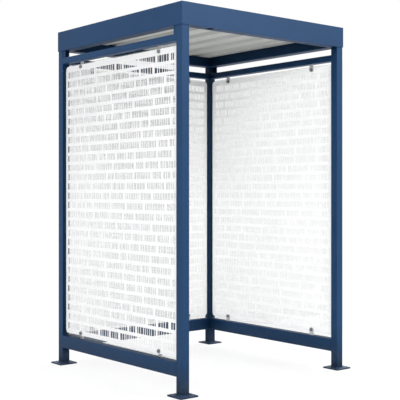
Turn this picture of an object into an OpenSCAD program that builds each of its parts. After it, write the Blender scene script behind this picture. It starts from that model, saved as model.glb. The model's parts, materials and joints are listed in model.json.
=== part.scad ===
// Open-front shelter. Four square posts on base plates carry a mitred ring of roof
// beams. Three walls have a top rail, a bottom rail and a sheet of glass held by
// bolted clips. A flat profiled roof sheet lies on the beams behind a deep fascia.
// Millimetres, +Z up. The origin is on the ground under the middle of the roof, and
// the open front faces -Y.

/* [Overall] */
// Width over the roof fascia
roof_w = 1360; // [1100:10:2400]
// Depth over the roof fascia, front to back
roof_d = 1360; // [1100:10:2400]
// Height from the ground to the top of the fascia
total_h = 2250; // [1850:10:2800]

/* [Posts] */
// Width of a square post
post_size = 54; // [40:1:80]
// Wall of the post tube
post_wall = 2; // [1.5:0.5:5]
// Outer corner radius of the post tube
post_corner_r = 3; // [1:0.5:8]

/* [Base plates] */
// Width of a square base plate
plate_size = 130; // [120:1:220]
// Thickness of a base plate
plate_t = 8; // [4:1:20]
// Corner radius of a base plate
plate_corner_r = 6; // [1:1:20]
// Diameter of an anchor hole
anchor_hole_d = 12; // [8:1:20]
// Distance from a plate's edge to the centre of an anchor hole
anchor_edge = 17; // [14:1:22]

/* [Rails] */
// Height of a wall's top rail
top_rail_h = 40; // [30:1:80]
// Height of a wall's bottom rail
bottom_rail_h = 82; // [30:1:150]
// Depth of both rails, through the wall
rail_d = 54; // [40:1:80]
// Wall of the rail tubes
rail_wall = 2; // [1.5:0.5:5]
// Outer corner radius of the rail tubes
rail_corner_r = 3; // [1:0.5:8]
// Open gap between a top rail and the roof beam above it
vent_gap = 49; // [10:1:200]
// Open gap between the ground and a bottom rail
floor_gap = 111; // [40:1:300]

/* [Roof frame] */
// Height of a roof beam
beam_h = 70; // [50:1:90]
// Width of a roof beam
beam_w = 70; // [55:1:90]
// Wall of the roof beam tube
beam_wall = 2; // [1.5:0.5:5]
// Outer corner radius of the roof beam tube
beam_corner_r = 3; // [1:0.5:8]
// Diameter of the drain hole under the front beam
drain_hole_d = 44; // [20:1:44]
// Distance from the front left corner of the roof to the middle of the drain hole
drain_hole_x = 234; // [120:1:500]

/* [Head brackets] */
// Length of a bracket, along the wall from its post
bracket_l = 28; // [15:1:80]
// Thickness of a bracket
bracket_t = 6; // [3:0.5:12]
// Distance from a post's outer face to a bracket
bracket_setback = 3; // [0:0.5:20]

/* [Fascia] */
// Height of the fascia
fascia_h = 130; // [108:1:220]
// Thickness of the fascia plate
fascia_t = 3; // [2:0.5:6]
// Width of the fold along the top of the fascia
fascia_return = 25; // [10:1:60]

/* [Roof sheet] */
// Thickness of the profiled sheet
sheet_t = 0.8; // [0.5:0.1:2]
// Distance between the ribs
rib_pitch = 187; // [120:1:300]
// Height of a rib
rib_h = 34; // [15:1:55]
// Width of a rib at its foot
rib_foot_w = 90; // [60:1:110]
// Width of a rib at its crown
rib_crown_w = 50; // [25:1:55]
// Least distance from a side edge of the sheet to the middle of the outer rib
rib_edge = 150; // [80:1:250]
// Gap between the sheet's edges and the fascia
sheet_gap = 2; // [1:0.5:10]

/* [Glass] */
// Thickness of a sheet of glass
glass_t = 6; // [4:0.5:12]
// Corner radius of a sheet of glass
glass_corner_r = 28; // [2:1:60]
// Gap between a sheet's side edges and the posts
glass_side_gap = 4; // [2:1:40]
// Gap between a sheet's top edge and the top rail
glass_top_gap = 17; // [5:1:24]
// Gap between a sheet's bottom edge and the bottom rail
glass_bottom_gap = 10; // [5:1:24]
// Diameter of a bolt hole in the glass
glass_hole_d = 14; // [8:1:16]

/* [Glass clips] */
// Width of a clip
clip_w = 34; // [24:1:60]
// Length of a clip from its rail to its tip
clip_l = 50; // [44:1:90]
// Thickness of a clip
clip_t = 5; // [3:1:8]
// Corner radius at a clip's tip
clip_tip_r = 10; // [1:1:16]
// Distance from a post to the middle of a clip
clip_inset = 194; // [60:1:300]
// Distance from the top rail to the middle of a bolt
bolt_below_rail = 37; // [33:1:44]
// Distance from the bottom rail to the middle of a bolt
bolt_above_rail = 37; // [33:1:44]
// Diameter of the bolt hole in a clip and in its gasket
bolt_hole_d = 9; // [6:1:12]
// Diameter of the rubber gasket between a clip and the glass
gasket_d = 24; // [18:1:28]
// Thickness of the gasket
gasket_t = 2; // [1:0.5:4]

/* [Hidden] */

frame_blue = "#3a5677";
roof_grey = "#b9bcb4";
glass_tint = [0.86, 0.92, 0.92, 0.35];
steel_grey = "#a9adb0";
rubber_black = "#1c1d20";

// Facets of round things: tube corners, holes and gaskets
corner_fn = 32;
hole_fn = 48;
// How far a cutting shape runs past what it cuts
cut_past = 1;
// Smallest radius inside a tube's corner
bend_min_r = 0.5;

// Heights that the pieces share
beam_bottom_z = total_h - fascia_h;
beam_top_z = beam_bottom_z + beam_h;
top_rail_top_z = beam_bottom_z - vent_gap;
top_rail_bottom_z = top_rail_top_z - top_rail_h;
bottom_rail_bottom_z = floor_gap;
bottom_rail_top_z = bottom_rail_bottom_z + bottom_rail_h;
glass_top_z = top_rail_bottom_z - glass_top_gap;
glass_bottom_z = bottom_rail_top_z + glass_bottom_gap;
top_bolt_z = top_rail_bottom_z - bolt_below_rail;
bottom_bolt_z = bottom_rail_top_z + bolt_above_rail;

// Distance from the outer face of the fascia to the posts' centre line
post_inset = fascia_t + post_size / 2;

// A side is "front", "right", "back" or "left", seen from above in that order
function side_turn(side) = side == "front" ? 0 : side == "right" ? 90 : side == "back" ? 180 : 270;
function is_across(side) = side == "front" || side == "back";
function side_length(side) = is_across(side) ? roof_w : roof_d;
function side_reach(side) = (is_across(side) ? roof_d : roof_w) / 2;
function clear_width(side) = side_length(side) - 2 * post_inset - post_size;
function clip_x(side) = clear_width(side) / 2 - clip_inset;

// Children are drawn along X with +Y inwards, at a distance in from the fascia's face
module on_side(side, inset) {
    rotate(side_turn(side))
        translate([0, inset - side_reach(side), 0])
            children();
}

module rounded_rect(w, h, r) {
    square([w - 2 * r, h], center = true);
    square([w, h - 2 * r], center = true);
    for (sx = [-1, 1], sy = [-1, 1]) {
        translate([sx * (w / 2 - r), sy * (h / 2 - r)])
            circle(r, $fn = corner_fn);
    }
}

module tube_section(w, h, r, wall) {
    difference() {
        rounded_rect(w, h, r);
        rounded_rect(w - 2 * wall, h - 2 * wall, max(r - wall, bend_min_r));
    }
}

// A tube along X, centred on the origin
module tube_along_x(length, w, h, r, wall) {
    rotate([90, 0, 90])
        linear_extrude(length, center = true)
            tube_section(w, h, r, wall);
}

// Keeps what lies inside a mitred strip along X, with its outer edge at y = 0
module mitred(length, width, z0, z1) {
    intersection() {
        children();
        translate([0, 0, z0])
            linear_extrude(z1 - z0)
                polygon([
                    [-length / 2, 0],
                    [length / 2, 0],
                    [length / 2 - width, width],
                    [-length / 2 + width, width],
                ]);
    }
}

module base_plate(sx, sy) {
    hole_reach = plate_size / 2 - anchor_edge;
    color(frame_blue)
        translate([sx * (roof_w / 2 - post_inset), sy * (roof_d / 2 - post_inset), 0])
            difference() {
                linear_extrude(plate_t)
                    rounded_rect(plate_size, plate_size, plate_corner_r);
                for (hx = [-1, 1], hy = [-1, 1]) {
                    translate([hx * hole_reach, hy * hole_reach, -cut_past])
                        cylinder(d = anchor_hole_d, h = plate_t + 2 * cut_past, $fn = hole_fn);
                }
            }
}

module post(sx, sy) {
    color(frame_blue)
        translate([sx * (roof_w / 2 - post_inset), sy * (roof_d / 2 - post_inset), plate_t])
            linear_extrude(beam_bottom_z - plate_t)
                tube_section(post_size, post_size, post_corner_r, post_wall);
}

module rail(side, bottom_z, height) {
    color(frame_blue)
        on_side(side, post_inset)
            translate([0, 0, bottom_z + height / 2])
                tube_along_x(clear_width(side), rail_d, height, rail_corner_r, rail_wall);
}

module bottom_rail(side) {
    rail(side, bottom_rail_bottom_z, bottom_rail_h);
}

module top_rail(side) {
    rail(side, top_rail_bottom_z, top_rail_h);
}

module roof_beam(side) {
    beam_length = side_length(side) - 2 * fascia_t;
    color(frame_blue)
        on_side(side, fascia_t)
            difference() {
                mitred(beam_length, beam_w, beam_bottom_z, beam_top_z)
                    translate([0, beam_w / 2, beam_bottom_z + beam_h / 2])
                        tube_along_x(beam_length, beam_w, beam_h, beam_corner_r, beam_wall);
                if (side == "front") {
                    translate([drain_hole_x - roof_w / 2, post_size / 2, beam_bottom_z - cut_past])
                        cylinder(d = drain_hole_d, h = beam_wall + 2 * cut_past, $fn = hole_fn);
                }
            }
}

// Fills the vent gap beside a post; along is -1 or 1, the end of the wall
module head_bracket(side, along) {
    middle_x = along * (clear_width(side) - bracket_l) / 2;
    color(frame_blue)
        on_side(side, fascia_t + bracket_setback)
            translate([middle_x - bracket_l / 2, 0, top_rail_top_z])
                cube([bracket_l, bracket_t, vent_gap]);
}

module fascia_profile() {
    translate([0, beam_bottom_z])
        square([fascia_t, fascia_h]);
    translate([0, total_h - fascia_t])
        square([fascia_return, fascia_t]);
}

module fascia(side) {
    color(frame_blue)
        on_side(side, 0)
            mitred(side_length(side), fascia_return, beam_bottom_z, total_h)
                rotate([90, 0, 90])
                    linear_extrude(side_length(side), center = true)
                        fascia_profile();
}

// The sheet's outline across its ribs: along the top from left to right, then back below
module sheet_outline(width) {
    rib_count = floor((width - 2 * rib_edge) / rib_pitch) + 1;
    first_rib = -(rib_count - 1) * rib_pitch / 2;
    slope = (rib_foot_w - rib_crown_w) / 2 / rib_h;
    side_step = sheet_t * (sqrt(1 + slope * slope) - slope);
    upper = [
        for (rib = [0:rib_count - 1])
            let (x = first_rib + rib * rib_pitch)
                each [
                    [x - rib_foot_w / 2, sheet_t],
                    [x - rib_crown_w / 2, rib_h],
                    [x + rib_crown_w / 2, rib_h],
                    [x + rib_foot_w / 2, sheet_t],
                ]
    ];
    lower = [
        for (rib = [rib_count - 1:-1:0])
            let (x = first_rib + rib * rib_pitch)
                each [
                    [x + rib_foot_w / 2 - side_step, 0],
                    [x + rib_crown_w / 2 - side_step, rib_h - sheet_t],
                    [x - rib_crown_w / 2 + side_step, rib_h - sheet_t],
                    [x - rib_foot_w / 2 + side_step, 0],
                ]
    ];
    polygon(concat(
        [[-width / 2, 0], [-width / 2, sheet_t]],
        upper,
        [[width / 2, sheet_t], [width / 2, 0]],
        lower
    ));
}

module roof_sheet() {
    edge_in = fascia_t + sheet_gap;
    color(roof_grey)
        translate([0, 0, beam_top_z])
            rotate([90, 0, 0])
                linear_extrude(roof_d - 2 * edge_in, center = true)
                    sheet_outline(roof_w - 2 * edge_in);
}

// Puts children at a side's four bolts, with the glass in the plane y = 0
module at_bolts(side) {
    for (sx = [-1, 1], bolt_z = [bottom_bolt_z, top_bolt_z]) {
        translate([sx * clip_x(side), 0, bolt_z])
            rotate([-90, 0, 0])
                children();
    }
}

module glass(side) {
    sheet_w = clear_width(side) - 2 * glass_side_gap;
    sheet_h = glass_top_z - glass_bottom_z;
    color(glass_tint)
        on_side(side, post_inset)
            difference() {
                translate([0, 0, glass_bottom_z + sheet_h / 2])
                    rotate([90, 0, 0])
                        linear_extrude(glass_t, center = true)
                            rounded_rect(sheet_w, sheet_h, glass_corner_r);
                at_bolts(side)
                    cylinder(d = glass_hole_d, h = glass_t + 2 * cut_past, center = true, $fn = hole_fn);
            }
}

module gaskets(side) {
    color(rubber_black)
        on_side(side, post_inset)
            at_bolts(side)
                translate([0, 0, glass_t / 2])
                    difference() {
                        cylinder(d = gasket_d, h = gasket_t, $fn = hole_fn);
                        translate([0, 0, -cut_past])
                            cylinder(d = bolt_hole_d, h = gasket_t + 2 * cut_past, $fn = hole_fn);
                    }
}

// A clip's face: its square end on the rail at the origin, its round tip upwards
module clip_face() {
    translate([-clip_w / 2, 0])
        square([clip_w, clip_l - clip_tip_r]);
    translate([-clip_w / 2 + clip_tip_r, 0])
        square([clip_w - 2 * clip_tip_r, clip_l]);
    for (sx = [-1, 1]) {
        translate([sx * (clip_w / 2 - clip_tip_r), clip_l - clip_tip_r])
            circle(clip_tip_r, $fn = corner_fn);
    }
}

// along is -1 or 1, the end of the wall; up is 1 from the bottom rail, -1 from the top one
module clip(side, along, up) {
    rail_z = up > 0 ? bottom_rail_top_z : top_rail_bottom_z;
    bolt_run = up > 0 ? bolt_above_rail : bolt_below_rail;
    color(steel_grey)
        on_side(side, post_inset + glass_t / 2 + gasket_t)
            translate([along * clip_x(side), clip_t, rail_z])
                rotate([90, 0, 0])
                    difference() {
                        linear_extrude(clip_t)
                            mirror([0, up > 0 ? 0 : 1, 0])
                                clip_face();
                        translate([0, up * bolt_run, -cut_past])
                            cylinder(d = bolt_hole_d, h = clip_t + 2 * cut_past, $fn = hole_fn);
                    }
}

base_plate(-1, -1);  // base_plate_front_left
base_plate(1, -1);  // base_plate_front_right
base_plate(-1, 1);  // base_plate_back_left
base_plate(1, 1);  // base_plate_back_right
post(-1, -1);  // post_front_left
post(1, -1);  // post_front_right
post(-1, 1);  // post_back_left
post(1, 1);  // post_back_right
bottom_rail("left");  // bottom_rail_left
bottom_rail("back");  // bottom_rail_back
bottom_rail("right");  // bottom_rail_right
top_rail("left");  // top_rail_left
top_rail("back");  // top_rail_back
top_rail("right");  // top_rail_right
roof_beam("front");  // roof_beam_front
roof_beam("back");  // roof_beam_back
roof_beam("left");  // roof_beam_left
roof_beam("right");  // roof_beam_right
head_bracket("left", 1);  // head_bracket_front_left
head_bracket("right", -1);  // head_bracket_front_right
head_bracket("left", -1);  // head_bracket_back_left
head_bracket("right", 1);  // head_bracket_back_right
fascia("front");  // fascia_front
fascia("back");  // fascia_back
fascia("left");  // fascia_left
fascia("right");  // fascia_right
roof_sheet();
glass("left");  // glass_left
glass("back");  // glass_back
glass("right");  // glass_right
clip("left", 1, -1);  // clip_left_top_front
clip("left", -1, -1);  // clip_left_top_back
clip("left", 1, 1);  // clip_left_bottom_front
clip("left", -1, 1);  // clip_left_bottom_back
clip("back", 1, -1);  // clip_back_top_left
clip("back", -1, -1);  // clip_back_top_right
clip("back", 1, 1);  // clip_back_bottom_left
clip("back", -1, 1);  // clip_back_bottom_right
clip("right", -1, -1);  // clip_right_top_front
clip("right", 1, -1);  // clip_right_top_back
clip("right", -1, 1);  // clip_right_bottom_front
clip("right", 1, 1);  // clip_right_bottom_back
gaskets("left");  // gaskets_left
gaskets("back");  // gaskets_back
gaskets("right");  // gaskets_right
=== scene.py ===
import json
import math
import random

import bmesh
import bpy
from mathutils import Matrix, Vector


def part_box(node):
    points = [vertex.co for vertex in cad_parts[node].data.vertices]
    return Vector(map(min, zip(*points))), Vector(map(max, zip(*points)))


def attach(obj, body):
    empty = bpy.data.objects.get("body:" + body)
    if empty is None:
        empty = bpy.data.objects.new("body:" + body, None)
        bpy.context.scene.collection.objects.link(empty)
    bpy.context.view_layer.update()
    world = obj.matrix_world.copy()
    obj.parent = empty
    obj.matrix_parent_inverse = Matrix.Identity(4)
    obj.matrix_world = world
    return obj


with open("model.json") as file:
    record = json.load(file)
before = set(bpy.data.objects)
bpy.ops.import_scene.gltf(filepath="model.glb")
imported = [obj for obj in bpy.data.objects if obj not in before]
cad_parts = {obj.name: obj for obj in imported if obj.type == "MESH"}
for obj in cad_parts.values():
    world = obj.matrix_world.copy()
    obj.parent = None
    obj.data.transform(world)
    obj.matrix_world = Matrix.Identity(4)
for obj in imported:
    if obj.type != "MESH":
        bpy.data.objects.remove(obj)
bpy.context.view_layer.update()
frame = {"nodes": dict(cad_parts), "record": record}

MM = 0.001

# ---------------------------------------------------------------- shader helpers

# places of the Mix node's colour sockets
MIX_FACTOR, MIX_A, MIX_B, MIX_RESULT = 0, 6, 7, 2


def new_material(name):
    """A node material without nodes, and its tree."""
    mat = bpy.data.materials.new(name)
    mat.use_nodes = True
    mat.node_tree.nodes.clear()
    return mat, mat.node_tree


def feed(tree, socket, value):
    """Gives a socket a plain value, or links another node's socket to it."""
    if isinstance(value, bpy.types.NodeSocket):
        tree.links.new(value, socket)
    else:
        socket.default_value = value


def add(tree, kind, inputs=None, **props):
    """Adds a shader node; each input is a plain value or another node's socket."""
    node = tree.nodes.new("ShaderNode" + kind)
    for key, value in props.items():
        setattr(node, key, value)
    for key, value in (inputs or {}).items():
        feed(tree, node.inputs[key], value)
    return node


def surface(tree, shader, kind="Material"):
    """Makes a shader the surface of its material, or of the world."""
    add(tree, "Output" + kind, {"Surface": shader.outputs[0]})


def math_node(tree, operation, a, b=0.0, clamp=False):
    return add(tree, "Math", {0: a, 1: b}, operation=operation, use_clamp=clamp).outputs[0]


def ramp(tree, value, low, high, to_low=0.0, to_high=1.0):
    """Maps low..high to to_low..to_high and holds the ends."""
    return add(tree, "MapRange", {
        "Value": value, "From Min": low, "From Max": high, "To Min": to_low, "To Max": to_high,
    }).outputs["Result"]


def mix_colour(tree, factor, a, b, blend="MIX"):
    return add(tree, "Mix", {
        MIX_FACTOR: factor, MIX_A: a, MIX_B: b,
    }, data_type="RGBA", blend_type=blend).outputs[MIX_RESULT]


def mix_shader(tree, factor, a, b):
    return add(tree, "MixShader", {0: factor, 1: a.outputs[0], 2: b.outputs[0]})


def noise(tree, coords, scale, detail, rough, stretch=None):
    """Noise in object space; stretch gives a scale per axis."""
    if stretch:
        coords = add(tree, "Mapping", {"Vector": coords, "Scale": stretch}).outputs[0]
    return add(tree, "TexNoise", {
        "Vector": coords, "Scale": scale, "Detail": detail, "Roughness": rough,
    }).outputs["Fac"]


def bump(tree, strength, depth, height, **normal):
    """The normal of a surface that height roughens; normal gives the one to start from."""
    return add(tree, "Bump", {
        "Strength": strength, "Distance": depth, "Height": height, **normal,
    }).outputs["Normal"]


def object_coords(tree):
    return add(tree, "TexCoord").outputs["Object"]


def face_normal(tree):
    return add(tree, "NewGeometry").outputs["Normal"]


def axis_of(tree, vector, axis):
    return add(tree, "SeparateXYZ", {"Vector": vector}).outputs[axis]


# ---------------------------------------------------------------- materials
#
# A noise is (scale per metre, detail, roughness, and a scale per axis where it is stretched).
# A span is (from, to), which become 0 and 1, or (from, to, result at from, result at to).

# painted frame
PAINT = (0.005, 0.038, 0.106, 1)
PAINT_DEEP = (0.004, 0.033, 0.093, 1)
PAINT_WORN = (0.050, 0.095, 0.175, 1)
DUST = (0.32, 0.31, 0.28, 1)
# the dark navy of the painted shade in inside corners
CORNER_SHADE = (0.002, 0.007, 0.016, 1)
MOTTLE = (2.3, 3.0, 0.55)
MOTTLE_SPAN = (0.35, 0.68)
SPECK = (420.0, 2.0, 0.6)
SPECK_SPAN = (0.52, 0.80, 0.0, 0.24)
EDGE_R = 1.6 * MM
EDGE_SAMPLES = 4
EDGE_SPAN = (0.995, 0.90)
RUB = (34.0, 4.0, 0.65)
RUB_SPAN = (0.46, 0.62, 0.0, 0.80)
DUST_HEIGHT_SPAN = (0.0, 0.16, 0.18, 0.0)
DUST_SLOPE_SPAN = (0.75, 1.0, 0.0, 0.10)
DUST_PATCH = (17.0, 4.0, 0.6)
DUST_PATCH_SPAN = (0.38, 0.66, 0.15, 1.0)
DUST_ROUGHNESS = 0.5
CORNER_REACH = 0.30
CORNER_SAMPLES = 6
CORNER_SPAN = (0.95, 0.45)
UNDERSIDE_SPAN = (-0.9, -0.4)
CORNER_SHADE_SHARE = 0.85
PAINT_ROUGH_SPAN = (0.3, 0.7, 0.44, 0.56)
# specular, lowered where the painted corner shade lies
PAINT_SPECULAR_SPAN = (0.0, 1.0, 0.20, 0.05)
PEEL = (620.0, 2.0, 0.5)
PEEL_STRENGTH = 0.35
PEEL_DEPTH = 0.12 * MM


def frame_paint():
    """Satin powder coat: orange peel, mottling, rubbed edges, dust low down, and painted shade in
    inside corners.
    """
    mat, tree = new_material("frame_paint")
    co = object_coords(tree)
    normal = face_normal(tree)
    up = axis_of(tree, normal, "Z")
    speck = noise(tree, co, *SPECK)
    mottle = ramp(tree, noise(tree, co, *MOTTLE), *MOTTLE_SPAN)
    colour = mix_colour(tree, mottle, PAINT, PAINT_DEEP)
    colour = mix_colour(tree, ramp(tree, speck, *SPECK_SPAN), colour, PAINT_WORN)

    rounded = add(tree, "Bevel", {"Radius": EDGE_R}, samples=EDGE_SAMPLES).outputs["Normal"]
    facing = add(tree, "VectorMath", {0: rounded, 1: normal}, operation="DOT_PRODUCT")
    edge = ramp(tree, facing.outputs["Value"], *EDGE_SPAN)
    rub = ramp(tree, noise(tree, co, *RUB), *RUB_SPAN)
    colour = mix_colour(tree, math_node(tree, "MULTIPLY", edge, rub), colour, PAINT_WORN)

    low = ramp(tree, axis_of(tree, co, "Z"), *DUST_HEIGHT_SPAN)
    flat = ramp(tree, up, *DUST_SLOPE_SPAN)
    patch = ramp(tree, noise(tree, co, *DUST_PATCH), *DUST_PATCH_SPAN)
    dusty = math_node(tree, "MULTIPLY", math_node(tree, "MAXIMUM", low, flat), patch)
    colour = mix_colour(tree, dusty, colour, DUST)

    # painted shade: the inside corners between posts, rails and panes are darkened and their
    # specular lowered, but not the undersides
    open_air = add(tree, "AmbientOcclusion", {"Distance": CORNER_REACH}, samples=CORNER_SAMPLES)
    occluded_shade = ramp(tree, open_air.outputs["AO"], *CORNER_SPAN)
    corner = math_node(tree, "MULTIPLY", occluded_shade, ramp(tree, up, *UNDERSIDE_SPAN))
    colour = mix_colour(tree, math_node(tree, "MULTIPLY", corner, CORNER_SHADE_SHARE), colour, CORNER_SHADE)

    rough = ramp(tree, speck, *PAINT_ROUGH_SPAN)
    dull = math_node(tree, "MULTIPLY", dusty, DUST_ROUGHNESS)
    peel = noise(tree, co, *PEEL)
    surface(tree, add(tree, "BsdfPrincipled", {
        "Base Color": colour,
        "Roughness": math_node(tree, "ADD", rough, dull, clamp=True),
        "Specular IOR Level": ramp(tree, corner, *PAINT_SPECULAR_SPAN),
        "Normal": bump(tree, PEEL_STRENGTH, PEEL_DEPTH, peel, Normal=rounded),
    }))
    return mat


# roof sheet, whose ribs run along Y
COAT = (0.395, 0.405, 0.37, 1)
COAT_PALE = (0.48, 0.485, 0.465, 1)
COAT_STREAK = (0.54, 0.54, 0.53, 1)
COAT_STAIN = (0.30, 0.29, 0.26, 1)
ROLLING = (1.0, 4.0, 0.6, (34.0, 1.1, 34.0))
ROLLING_SPAN = (0.34, 0.66)
STREAK = (1.0, 3.0, 0.6, (260.0, 4.0, 260.0))
STREAK_SPAN = (0.40, 0.72, 0.0, 0.30)
RAIN_MARK = (7.0, 5.0, 0.62, (1.0, 0.35, 1.0))
RAIN_MARK_SPAN = (0.42, 0.70, 0.0, 0.55)
TOP_SIDE_SPAN = (0.6, 0.95)
COAT_ROUGH_SPAN = (0.3, 0.7, 0.40, 0.52)
COAT_SPECULAR = 0.4
STREAK_STRENGTH = 0.25
STREAK_DEPTH = 0.25 * MM


def roof_sheet():
    """Coil-coated profiled sheet: soft rolling marks along the ribs, dust and rain marks on top."""
    mat, tree = new_material("roof_sheet")
    co = object_coords(tree)
    rolling = noise(tree, co, *ROLLING)
    streak = noise(tree, co, *STREAK)
    colour = mix_colour(tree, ramp(tree, rolling, *ROLLING_SPAN), COAT, COAT_PALE)
    colour = mix_colour(tree, ramp(tree, streak, *STREAK_SPAN), colour, COAT_STREAK)
    stain = ramp(tree, noise(tree, co, *RAIN_MARK), *RAIN_MARK_SPAN)
    top_side = ramp(tree, axis_of(tree, face_normal(tree), "Z"), *TOP_SIDE_SPAN)
    colour = mix_colour(tree, math_node(tree, "MULTIPLY", top_side, stain), colour, COAT_STAIN)
    surface(tree, add(tree, "BsdfPrincipled", {
        "Base Color": colour,
        "Roughness": ramp(tree, rolling, *COAT_ROUGH_SPAN),
        "Specular IOR Level": COAT_SPECULAR,
        "Normal": bump(tree, STREAK_STRENGTH, STREAK_DEPTH, streak),
    }))
    return mat


# glass
WHITE = (1, 1, 1, 1)
GREEN_CAST = 0.004
GLASS_FILM = (5.0, 4.0, 0.6)
GLASS_ROUGH_SPAN = (0.35, 0.7, 0.015, 0.06)
# heights over which the painted shade under the roof grows
ROOF_SHADE_SPAN = (0.9, 1.9)
SCHLICK_POWER = 5.0
SHEEN_SPAN = (0.0, 1.0, 0.04, 1.0)
GLASS_EDGE = (0.030, 0.085, 0.070, 1)
GLASS_EDGE_ROUGH = 0.25
GLASS_EDGE_SPECULAR = 0.3
GLASS_EDGE_SPAN = (0.7, 0.3, 0.0, 0.85)


def grey(level):
    """The faintly green colour that a pane lets through."""
    return (level, level + GREEN_CAST, level + GREEN_CAST / 2, 1)


def glass(name, thin_axis, unshaded_y, shaded_y, unshaded, shaded, roof_share):
    """Clear pane that lets lamps through, with a green polished edge; thin_axis is X or Y.

    The tint darkens a little along Y, from the first given place to the second, and by roof_share
    towards the roof: painted shade.
    """
    mat, tree = new_material(name)
    co = object_coords(tree)
    # painted shade: the tint darkens along Y and towards the roof
    shade_along_y = ramp(tree, axis_of(tree, co, "Y"), unshaded_y, shaded_y)
    low = mix_colour(tree, shade_along_y, grey(unshaded), grey(shaded))
    roof_shade = ramp(tree, axis_of(tree, co, "Z"), *ROOF_SHADE_SPAN)
    roof_tint = (roof_share, roof_share, roof_share, 1)
    tint = mix_colour(tree, roof_shade, low, roof_tint, "MULTIPLY")
    clear = add(tree, "BsdfTransparent", {"Color": tint})
    rough = ramp(tree, noise(tree, co, *GLASS_FILM), *GLASS_ROUGH_SPAN)
    mirror = add(tree, "BsdfGlossy", {"Color": WHITE, "Roughness": rough})
    # Schlick's curve for glass, the same from both sides of the pane
    grazing = add(tree, "LayerWeight", {"Blend": 0.5}).outputs["Facing"]
    sheen = ramp(tree, math_node(tree, "POWER", grazing, SCHLICK_POWER), *SHEEN_SPAN)
    pane = mix_shader(tree, sheen, clear, mirror)
    across = math_node(tree, "ABSOLUTE", axis_of(tree, face_normal(tree), thin_axis))
    green = add(tree, "BsdfPrincipled", {
        "Base Color": GLASS_EDGE, "Roughness": GLASS_EDGE_ROUGH,
        "Specular IOR Level": GLASS_EDGE_SPECULAR,
    })
    surface(tree, mix_shader(tree, ramp(tree, across, *GLASS_EDGE_SPAN), pane, green))
    return mat


# print on the glass
ENAMEL = (0.93, 0.927, 0.927, 1)
ENAMEL_DULL = (0.915, 0.913, 0.918, 1)
ENAMEL_GRAIN = (0.86, 0.86, 0.87, 1)
# the grey of the painted shade in the back right corner
ENAMEL_SHADE = (0.93, 0.93, 0.93, 1)
CLOUD = (3.0, 4.0, 0.6)
CLOUD_SPAN = (0.35, 0.7)
GRAIN = (900.0, 2.0, 0.6)
GRAIN_SPAN = (0.45, 0.75, 0.0, 0.25)
# where the painted corner shade lies, per axis
ENAMEL_SHADE_SPANS = {"X": (-0.6, 0.2), "Y": (0.05, 0.5), "Z": (1.05, 1.45)}
ENAMEL_ROUGH_SPAN = (0.3, 0.7, 0.42, 0.56)
ENAMEL_SPECULAR = 0.35
ENAMEL_THROUGH = 0.45
GRAIN_STRENGTH = 0.2
GRAIN_DEPTH = 0.05 * MM


def print_white():
    """White enamel baked on the glass: a little light comes through it."""
    mat, tree = new_material("print")
    co = object_coords(tree)
    cloud = noise(tree, co, *CLOUD)
    grain = noise(tree, co, *GRAIN)
    colour = mix_colour(tree, ramp(tree, cloud, *CLOUD_SPAN), ENAMEL, ENAMEL_DULL)
    colour = mix_colour(tree, ramp(tree, grain, *GRAIN_SPAN), colour, ENAMEL_GRAIN)
    # painted shade: a faint grey in the back right corner, from chest height up
    right, back, high = (
        ramp(tree, axis_of(tree, co, axis), *span) for axis, span in ENAMEL_SHADE_SPANS.items()
    )
    enamel_shade = math_node(tree, "MULTIPLY", math_node(tree, "MULTIPLY", right, back), high)
    colour = mix_colour(tree, enamel_shade, colour, ENAMEL_SHADE, "MULTIPLY")
    face = add(tree, "BsdfPrincipled", {
        "Base Color": colour,
        "Roughness": ramp(tree, grain, *ENAMEL_ROUGH_SPAN),
        "Specular IOR Level": ENAMEL_SPECULAR,
        "Normal": bump(tree, GRAIN_STRENGTH, GRAIN_DEPTH, grain),
    })
    through = add(tree, "BsdfTranslucent", {"Color": colour})
    surface(tree, mix_shader(tree, ENAMEL_THROUGH, face, through))
    return mat


# clips, bolts and screws
BRUSHING = (1.0, 3.0, 0.7, (1500.0, 1500.0, 70.0))
BRUSHING_SPAN = (0.3, 0.7)
DULL_PATCH = (60.0, 3.0, 0.6)
DULL_PATCH_SPAN = (0.5, 0.8, 0.0, 0.35)
DULL_PATCH_SHARE = 0.5
STEEL_ROUGH_SPAN = (0.4, 1.1)
BRUSHING_STRENGTH = 0.3
BRUSHING_DEPTH = 0.04 * MM


def brushed_steel(name, light, dark, metal, smooth, rough):
    """Brushed metal with its grain upright, and duller patches; roughness is smooth to rough."""
    mat, tree = new_material(name)
    co = object_coords(tree)
    grain = noise(tree, co, *BRUSHING)
    patch = noise(tree, co, *DULL_PATCH)
    colour = mix_colour(tree, ramp(tree, grain, *BRUSHING_SPAN), dark, light)
    colour = mix_colour(tree, ramp(tree, patch, *DULL_PATCH_SPAN), colour, dark)
    wear = math_node(tree, "ADD", grain, math_node(tree, "MULTIPLY", patch, DULL_PATCH_SHARE))
    surface(tree, add(tree, "BsdfPrincipled", {
        "Base Color": colour,
        "Metallic": metal,
        "Roughness": ramp(tree, wear, *STEEL_ROUGH_SPAN, smooth, rough),
        "Normal": bump(tree, BRUSHING_STRENGTH, BRUSHING_DEPTH, grain),
    }))
    return mat


# gaskets
RUBBER = (0.012, 0.012, 0.014, 1)
RUBBER_PALE = (0.030, 0.030, 0.034, 1)
RUBBER_GRAIN = (800.0, 3.0, 0.6)
RUBBER_SPAN = (0.4, 0.7)
RUBBER_ROUGH_SPAN = (0.3, 0.7, 0.6, 0.8)
RUBBER_STRENGTH = 0.3
RUBBER_DEPTH = 0.08 * MM


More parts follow.
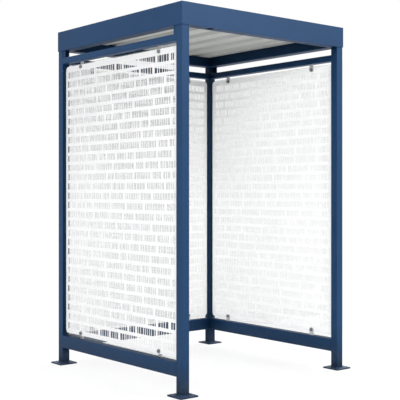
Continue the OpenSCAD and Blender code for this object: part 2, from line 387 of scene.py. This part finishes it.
def rubber():
    """Matt black rubber with a fine grain."""
    mat, tree = new_material("gasket_rubber")
    grain = noise(tree, object_coords(tree), *RUBBER_GRAIN)
    surface(tree, add(tree, "BsdfPrincipled", {
        "Base Color": mix_colour(tree, ramp(tree, grain, *RUBBER_SPAN), RUBBER, RUBBER_PALE),
        "Roughness": ramp(tree, grain, *RUBBER_ROUGH_SPAN),
        "Normal": bump(tree, RUBBER_STRENGTH, RUBBER_DEPTH, grain),
    }))
    return mat


# painted shade: the left pane lets through less to the front and the right one to the back, as in
# the photograph
PANES = {
    # node: thin axis, Y of no painted shade, Y of full painted shade, tint at each of these two,
    # tint share towards the roof
    "glass_left": ("X", 0.5, -0.5, 0.955, 0.912, 0.985),
    "glass_back": ("Y", -0.5, 0.5, 0.936, 0.936, 0.967),
    "glass_right": ("X", -0.5, 0.5, 0.966, 0.916, 0.967),
}
STEELS = {
    # slot: light, dark, metallic share, smooth, rough
    "clip_steel": ((0.68, 0.68, 0.69, 1), (0.52, 0.52, 0.53, 1), 0.6, 0.42, 0.58),
    "fixings": ((0.23, 0.23, 0.24, 1), (0.14, 0.14, 0.15, 1), 0.5, 0.34, 0.50),
}

paint = frame_paint()
sheet_coat = roof_sheet()
glass_of = {node: glass(node, *pane) for node, pane in PANES.items()}
enamel = print_white()
clip_steel, fixing_steel = (brushed_steel(slot, *steel) for slot, steel in STEELS.items())
gasket_rubber = rubber()

slot_of = {s["node"]: s["material_slot"] for s in frame["record"]["subparts"]}
by_slot = {
    "frame_paint": paint, "roof_sheet": sheet_coat,
    "clip_steel": clip_steel, "gasket_rubber": gasket_rubber,
}
for name, obj in frame["nodes"].items():
    obj.data.materials.clear()
    obj.data.materials.append(glass_of.get(name) or by_slot[slot_of[name]])

# ---------------------------------------------------------------- mesh helpers

HEX_SIDES = 6


def new_object(name, bm, material):
    """Turns a bmesh into an object of the scene."""
    mesh = bpy.data.meshes.new(name)
    bm.to_mesh(mesh)
    bm.free()
    mesh.materials.append(material)
    obj = bpy.data.objects.new(name, mesh)
    bpy.context.scene.collection.objects.link(obj)
    return obj


def make_piece(name, bm, material):
    """Turns a bmesh into a piece that rides on the shelter."""
    bmesh.ops.recalc_face_normals(bm, faces=bm.faces)
    piece = new_object(name, bm, material)
    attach(piece, "root")


def lathe(bm, outline, steps, place):
    """Turns an outline of (radius, height) in mm about place's Z; radius 0 closes an end."""
    rings = []
    for r, height in outline:
        turns = [2 * math.pi * k / steps for k in range(steps)] if r else [0.0]
        points = [Vector((r * math.cos(a), r * math.sin(a), height)) * MM for a in turns]
        rings.append([bm.verts.new(place @ p) for p in points])
    for lower, upper in zip(rings, rings[1:]):
        for k in range(steps):
            j = (k + 1) % steps
            quad = [
                lower[k % len(lower)], lower[j % len(lower)],
                upper[j % len(upper)], upper[k % len(upper)],
            ]
            bm.faces.new(dict.fromkeys(quad))


def hexagon(bm, across, base, top, chamfer, place):
    """A hexagonal head or nut with a chamfered top, in mm."""
    reach = across / 2 / math.cos(math.pi / HEX_SIDES)
    lathe(bm, (
        (0, base), (reach, base), (reach, top - chamfer), (reach - 2 * chamfer, top), (0, top),
    ), HEX_SIDES, place)


# ---------------------------------------------------------------- walls

UP = Vector((0, 0, 1))
SIDES = {
    # side: direction along the wall (its right as seen from outside), direction outwards
    "left": (Vector((0, -1, 0)), Vector((-1, 0, 0))),
    "back": (Vector((-1, 0, 0)), Vector((0, 1, 0))),
    "right": (Vector((0, 1, 0)), Vector((1, 0, 0))),
}
# the names of a wall's ends, against and along its direction
ENDS = {"left": ("back", "front"), "back": ("right", "left"), "right": ("front", "back")}


def extent(node, direction):
    """A node's size along a direction of the frame."""
    low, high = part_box(node)
    return abs((high - low).dot(direction))


def wall_frame(side):
    """A matrix from (along, up, outwards), with its origin on the pane's outer face."""
    along, out = SIDES[side]
    low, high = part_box("glass_" + side)
    outer = max(abs(low.dot(out)), abs(high.dot(out)))
    m = Matrix.Identity(4)
    for row in range(3):
        m[row][0], m[row][1], m[row][2] = along[row], UP[row], out[row]
        m[row][3] = out[row] * outer
    return m


# ---------------------------------------------------------------- print on the glass

PRINT_SEED = 41
PRINT_T = 0.3 * MM
PRINT_OFF = 0.1 * MM  # between the glass and the print
PRINT_OUTSIDE = {"left": True, "back": False, "right": False}
PRINT_SIDE_MARGIN = 3 * MM
PRINT_TOP_MARGIN = 6 * MM
PRINT_BOTTOM_MARGIN = 12 * MM
PRINT_CORNER_R = 25 * MM
PRINT_CORNER_STEPS = 8
SAME_DIGITS = 6  # corners that agree to a micrometre are one
ROWS = 28
ROW_LOW = 0.266
ROW_HIGH = 1.950
BLOCK_H = 41 * MM
BLOCK_EDGE = 25 * MM  # between the print's side and its blocks
# widths along a row, in mm
BLOCK_WIDTHS = (11, 14, 17, 20, 24)
BLOCK_GAP = (4, 7)
RUN_GAP = (12, 20)
ROW_START = (0, 12)
BLOCKS_IN_RUN = (3, 10)


def block_row(rng, low, high):
    """Ends of the clear blocks along one row: runs of blocks with wider gaps between runs."""
    blocks = []
    x = low + rng.uniform(*ROW_START) * MM
    while True:
        for _ in range(rng.randint(*BLOCKS_IN_RUN)):
            width = rng.choice(BLOCK_WIDTHS) * MM
            if x + width > high:
                return blocks
            blocks.append((x, x + width))
            x += width + rng.uniform(*BLOCK_GAP) * MM
        x += rng.uniform(*RUN_GAP) * MM


def printed_panel(side, seed):
    """A thin white skin on one face of the pane, with rows of plain clear blocks cut out of it."""
    rng = random.Random(seed)
    place = wall_frame(side)
    along, out = SIDES[side]
    level = PRINT_OFF
    if not PRINT_OUTSIDE[side]:
        level = -extent("glass_" + side, out) - PRINT_OFF - PRINT_T
    low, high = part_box("glass_" + side)
    half = extent("glass_" + side, along) / 2 - PRINT_SIDE_MARGIN
    bottom, top = low.z + PRINT_BOTTOM_MARGIN, high.z - PRINT_TOP_MARGIN
    bm = bmesh.new()
    made = {}

    def vert(x, z):
        key = (round(x, SAME_DIGITS), round(z, SAME_DIGITS))
        if key not in made:
            made[key] = bm.verts.new(place @ Vector((x, z, level)))
        return made[key]

    def corner(sx, sz):
        """Points round one corner of the panel, anticlockwise."""
        start = {(1, -1): -90, (1, 1): 0, (-1, 1): 90, (-1, -1): 180}[(sx, sz)]
        cx = sx * (half - PRINT_CORNER_R)
        cz = (top if sz > 0 else bottom) - sz * PRINT_CORNER_R
        points = []
        for k in range(PRINT_CORNER_STEPS + 1):
            a = math.radians(start + 90 * k / PRINT_CORNER_STEPS)
            points.append((cx + PRINT_CORNER_R * math.cos(a), cz + PRINT_CORNER_R * math.sin(a)))
        return points

    def face(outline):
        bm.faces.new([vert(x, z) for x, z in outline])

    rows = []
    for k in range(ROWS):
        z = ROW_LOW + (ROW_HIGH - ROW_LOW) * k / (ROWS - 1)
        low_z, high_z = z - BLOCK_H / 2, z + BLOCK_H / 2
        blocks = block_row(rng, -half + BLOCK_EDGE, half - BLOCK_EDGE)
        breaks = [-half] + [v for b in blocks for v in b] + [half]
        rows.append((low_z, high_z, breaks))
        for a, b in zip(breaks[::2], breaks[1::2]):
            face([(a, low_z), (b, low_z), (b, high_z), (a, high_z)])
    # the strips between rows share the rows' corners
    face(corner(-1, -1) + corner(1, -1) + [(x, rows[0][0]) for x in reversed(rows[0][2])])
    for below, above in zip(rows, rows[1:]):
        face([(x, below[1]) for x in below[2]] + [(x, above[0]) for x in reversed(above[2])])
    face([(x, rows[-1][1]) for x in rows[-1][2]] + corner(1, 1) + corner(-1, 1))

    skin = bmesh.ops.extrude_face_region(bm, geom=bm.faces[:], use_keep_orig=True)
    lift = place.to_3x3() @ Vector((0, 0, PRINT_T))
    raised = [v for v in skin["geom"] if isinstance(v, bmesh.types.BMVert)]
    bmesh.ops.translate(bm, vec=lift, verts=raised)
    bmesh.ops.triangulate(bm, faces=bm.faces[:])
    make_piece("print_" + side, bm, enamel)


for k, side in enumerate(SIDES):
    printed_panel(side, PRINT_SEED + k)

# ---------------------------------------------------------------- clip bolts

GASKET_R = 12 * MM
WASHER_T = 1.6 * MM
# outlines in mm, above the face that each one sits on
WASHER = ((0, 0), (12.0, 0), (12.0, 1.1), (11.5, 1.6), (0, 1.6))
CAP_HEAD = (
    (0, 0), (10.0, 0), (10.0, 6.6), (9.4, 8.0), (8.0, 8.8),
    (3.6, 9.0), (3.4, 8.8), (3.3, 5.0), (0, 4.6),
)
NUT_DOME = (
    (0, 6.3), (7.6, 6.3), (7.5, 8.4), (6.4, 11.2), (4.0, 13.2), (1.6, 13.9), (0, 14.0),
)
NUT = {"across": 17, "base": 0, "top": 6.5, "chamfer": 0.7}
SHANK_R = 4
WASHER_STEPS, HEAD_STEPS, DOME_STEPS, SHANK_STEPS = 40, 32, 28, 20


def clip_bolt(name, place, skin, inner):
    """Round cap head, washers, shank and cap nut; place has Z outwards from the pane.

    The head's washer sits at skin and the nut's washer on the clip's face at inner.
    """
    bm = bmesh.new()
    outside = place @ Matrix.Translation((0, 0, skin))
    inside = place @ Matrix.Translation((0, 0, inner)) @ Matrix.Rotation(math.pi, 4, "X")
    past_washer = Matrix.Translation((0, 0, WASHER_T))
    lathe(bm, WASHER, WASHER_STEPS, outside)
    lathe(bm, CAP_HEAD, HEAD_STEPS, outside @ past_washer)
    length = (skin + WASHER_T - inner) / MM
    lathe(bm, ((0, 0), (SHANK_R, 0), (SHANK_R, -length), (0, -length)), SHANK_STEPS, inside)
    lathe(bm, WASHER, WASHER_STEPS, inside)
    hexagon(bm, place=inside @ past_washer, **NUT)
    lathe(bm, NUT_DOME, DOME_STEPS, inside @ past_washer)
    make_piece(name, bm, fixing_steel)


for side, (along, out) in SIDES.items():
    place = wall_frame(side)
    low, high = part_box("gaskets_" + side)
    reach = extent("gaskets_" + side, along) / 2 - GASKET_R
    clip_low, clip_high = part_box("clip_%s_top_%s" % (side, ENDS[side][0]))
    clip_in = min(abs(clip_low.dot(out)), abs(clip_high.dot(out)))
    pane_out = place.to_translation().dot(out)
    skin = PRINT_OFF + PRINT_T if PRINT_OUTSIDE[side] else 0.0
    for level, z in (("bottom", low.z + GASKET_R), ("top", high.z - GASKET_R)):
        for sign, end in zip((-1, 1), ENDS[side]):
            at = place @ Matrix.Translation((sign * reach, z, 0))
            clip_bolt("clip_bolt_%s_%s_%s" % (side, level, end), at, skin, clip_in - pane_out)

# ---------------------------------------------------------------- roof screws

SHEET_T = 0.8 * MM
# the screw's point, shank, flange and sealing washer in mm, and its hexagon head
SCREW = (
    (0, -14), (2.7, -11), (2.7, 0.2), (8.0, 0.0), (8.2, 1.2), (7.2, 2.2), (0, 2.3),
)
SCREW_HEAD = {"across": 8, "base": 2.2, "top": 7.2, "chamfer": 0.5}
SCREW_STEPS = 24
CROWN_DIGITS = 4  # crown edges that agree to 0.1 mm are one

sheet_low, sheet_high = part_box("roof_sheet")
sheet_verts = [v.co for v in frame["nodes"]["roof_sheet"].data.vertices]
# the ends of the ribs' crowns across the sheet
crown_edges = sorted({
    round(v.x, CROWN_DIGITS) for v in sheet_verts if v.z > sheet_high.z - SHEET_T / 2
})
crowns = [(a + b) / 2 for a, b in zip(crown_edges[::2], crown_edges[1::2])]
for name in ("front", "back"):
    beam_low, beam_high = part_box("roof_beam_" + name)
    bm = bmesh.new()
    beam_y = (beam_low.y + beam_high.y) / 2
    for a, b in zip(crowns, crowns[1:]):
        at = Matrix.Translation(((a + b) / 2, beam_y, sheet_low.z + SHEET_T))
        lathe(bm, SCREW, SCREW_STEPS, at)
        hexagon(bm, place=at, **SCREW_HEAD)
    make_piece("roof_screws_" + name, bm, fixing_steel)

# ---------------------------------------------------------------- welds

FOOT_SEED = 70
RAIL_SEED = 90
BEAD = 5 * MM
# a bead's section, as shares of its size along its two legs
BEAD_OUTLINE = (
    (-0.12, -0.12), (1.0, -0.12), (0.95, 0.08), (0.50, 0.50), (0.08, 0.95), (-0.12, 1.0),
)
BEAD_STEPS = 22  # along each straight run
BEAD_MEAN = 0.86  # sizes as shares of BEAD
BEAD_RIPPLE = 0.10
BEAD_JITTER = 0.05
BEAD_END = 0.45
RIPPLE_TURN = 1.9  # radians between two steps
POST_R = 3 * MM
POST_R_STEPS = 4


def bead(bm, path, outs, up, closed, rng):
    """A rippled fillet bead: at each point one leg runs along out and one along up."""
    sections = []
    last = len(path) - 1
    for k, (p, out) in enumerate(zip(path, outs)):
        ripple = BEAD_RIPPLE * math.sin(k * RIPPLE_TURN)
        size = BEAD * (BEAD_MEAN + ripple + rng.uniform(-BEAD_JITTER, BEAD_JITTER))
        if not closed and k in (0, last):
            size *= BEAD_END
        sections.append([
            bm.verts.new(p + out * (size * f) + up * (size * g)) for f, g in BEAD_OUTLINE
        ])
    pairs = list(zip(sections, sections[1:]))
    if closed:
        pairs.append((sections[-1], sections[0]))
    for a, b in pairs:
        for k in range(len(a)):
            j = (k + 1) % len(a)
            bm.faces.new([a[k], a[j], b[j], b[k]])
    if not closed:
        bm.faces.new(sections[0])
        bm.faces.new(sections[-1])


def foot_weld(name, seed):
    """The bead round a post's foot on its plate."""
    rng = random.Random(seed)
    low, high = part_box("post_" + name)
    centre = Vector(((low.x + high.x) / 2, (low.y + high.y) / 2, low.z))
    half = (high.x - low.x) / 2
    inset = half - POST_R
    path, outs = [], []
    for quarter in range(4):
        turn = Matrix.Rotation(math.pi / 2 * quarter, 3, "Z")
        for k in range(BEAD_STEPS):
            t = -1 + 2 * (k + 0.5) / BEAD_STEPS
            path.append(centre + turn @ Vector((half, t * inset, 0)))
            outs.append(turn @ Vector((1, 0, 0)))
        for k in range(1, POST_R_STEPS):
            a = math.pi / 2 * k / POST_R_STEPS
            d = Vector((math.cos(a), math.sin(a), 0))
            path.append(centre + turn @ (Vector((inset, inset, 0)) + d * POST_R))
            outs.append(turn @ d)
    bm = bmesh.new()
    bead(bm, path, outs, UP, True, rng)
    make_piece("foot_weld_" + name, bm, paint)


def rail_welds(side, seed):
    """Beads above and below both ends of a wall's two rails."""
    rng = random.Random(seed)
    along, out = SIDES[side]
    bm = bmesh.new()
    for rail in ("top_rail_" + side, "bottom_rail_" + side):
        low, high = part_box(rail)
        middle = (low + high) / 2
        half = extent(rail, along) / 2
        deep = extent(rail, out) / 2 - BEAD
        for sign in (-1, 1):
            for level, up in ((low.z, -UP), (high.z, UP)):
                start = Vector((middle.x, middle.y, level)) + along * (sign * half)
                shares = [-1 + 2 * k / (BEAD_STEPS - 1) for k in range(BEAD_STEPS)]
                path = [start + out * (deep * share) for share in shares]
                bead(bm, path, [along * -sign] * BEAD_STEPS, up, False, rng)
    make_piece("rail_welds_" + side, bm, paint)


for k, name in enumerate(("front_left", "front_right", "back_left", "back_right")):
    foot_weld(name, FOOT_SEED + k)
for k, side in enumerate(SIDES):
    rail_welds(side, RAIL_SEED + k)

# ---------------------------------------------------------------- floor and world

FLOOR_GREY = (0.88, 0.88, 0.88, 1)
FLOOR_REACH = 60.0
FLOOR_RINGS = 12
FLOOR_STEPS = 48
FLOOR_WHITE_SPAN = (1.0, 2.6, 0.80, 1.0)  # share of white over the distance from the middle
SKY = (0.93, 0.96, 1.0, 1)
SKY_STRENGTH = 0.29


def seen_factor(tree):
    """1 for what the camera, a mirror or glass shows, 0 for light."""
    path = add(tree, "LightPath")
    seen = math_node(tree, "MAXIMUM", path.outputs["Is Camera Ray"], path.outputs["Is Glossy Ray"])
    return math_node(tree, "MAXIMUM", seen, path.outputs["Is Transmission Ray"])


def floor():
    """A pale level floor that keeps the shelter's shadow and fades to white further out."""
    mat, tree = new_material("floor")
    matt = add(tree, "BsdfDiffuse", {"Color": FLOOR_GREY})
    white = add(tree, "Emission", {"Color": WHITE, "Strength": 1.0})
    away = add(tree, "VectorMath", {0: object_coords(tree)}, operation="LENGTH").outputs["Value"]
    share = math_node(tree, "MULTIPLY", seen_factor(tree), ramp(tree, away, *FLOOR_WHITE_SPAN))
    surface(tree, mix_shader(tree, share, matt, white))
    bm = bmesh.new()
    middle = bm.verts.new((0, 0, 0))
    turns = [2 * math.pi * k / FLOOR_STEPS for k in range(FLOOR_STEPS)]
    last = None
    for number in range(1, FLOOR_RINGS + 1):
        r = FLOOR_REACH * (number / FLOOR_RINGS) ** 2
        ring = [bm.verts.new((r * math.cos(a), r * math.sin(a), 0)) for a in turns]
        for k in range(FLOOR_STEPS):
            j = (k + 1) % FLOOR_STEPS
            inner = [last[j], last[k]] if last else [middle]
            bm.faces.new([*inner, ring[k], ring[j]])
        last = ring
    new_object("floor", bm, mat)


floor()

world = bpy.data.worlds.new("world")
bpy.context.scene.world = world
world.use_nodes = True
sky = world.node_tree
sky.nodes.clear()
light = add(sky, "Background", {"Color": SKY, "Strength": SKY_STRENGTH})
white = add(sky, "Background", {"Color": WHITE, "Strength": 1.0})
surface(sky, mix_shader(sky, seen_factor(sky), light, white), "World")

# ---------------------------------------------------------------- lamps and camera

LAMP_AIM = Vector((0, 0, 1.1))
LAMPS = (
    # name, place, size, share of white on a face turned to it
    ("front_right", (3.6, -5.8, 5.0), 3.0, 0.48),
    ("front", (-4.2, -7.0, 4.0), 3.0, 0.51),
    ("left", (-7.5, 0.5, 4.6), 3.5, 0.29),
    ("right", (7.5, 1.5, 4.6), 3.5, 0.90),
    ("back", (0.5, 7.5, 4.6), 3.5, 0.41),
    ("top", (0, 0, 8.0), 4.0, 0.46),
)
CAMERA_AT = (-3.8677, -4.7070, 1.1772)
CAMERA_AIM = (0.6367, 0.7711, 0)
CAMERA_LENS = 81.7
CAMERA_SENSOR = 36.0
CAMERA_SHIFT = (-0.0015, -0.02475)


def softbox(name, at, size, level):
    """A round soft lamp turned to the shelter's middle."""
    lamp = bpy.data.lights.new(name, "AREA")
    lamp.shape = "DISK"
    lamp.size = size
    aim = LAMP_AIM - Vector(at)
    lamp.energy = level * math.pi ** 2 * aim.length_squared
    obj = bpy.data.objects.new(name, lamp)
    obj.location = at
    obj.rotation_euler = aim.to_track_quat("-Z", "Y").to_euler()
    bpy.context.scene.collection.objects.link(obj)


for lamp in LAMPS:
    softbox(*lamp)

cam = bpy.data.cameras.new("camera")
cam.lens = CAMERA_LENS
cam.sensor_width = CAMERA_SENSOR
cam.shift_x, cam.shift_y = CAMERA_SHIFT
cam_obj = bpy.data.objects.new("camera", cam)
cam_obj.location = CAMERA_AT
cam_obj.rotation_euler = Vector(CAMERA_AIM).to_track_quat("-Z", "Y").to_euler()
bpy.context.scene.collection.objects.link(cam_obj)
bpy.context.scene.camera = cam_obj
bpy.context.scene.view_settings.view_transform = "Standard"
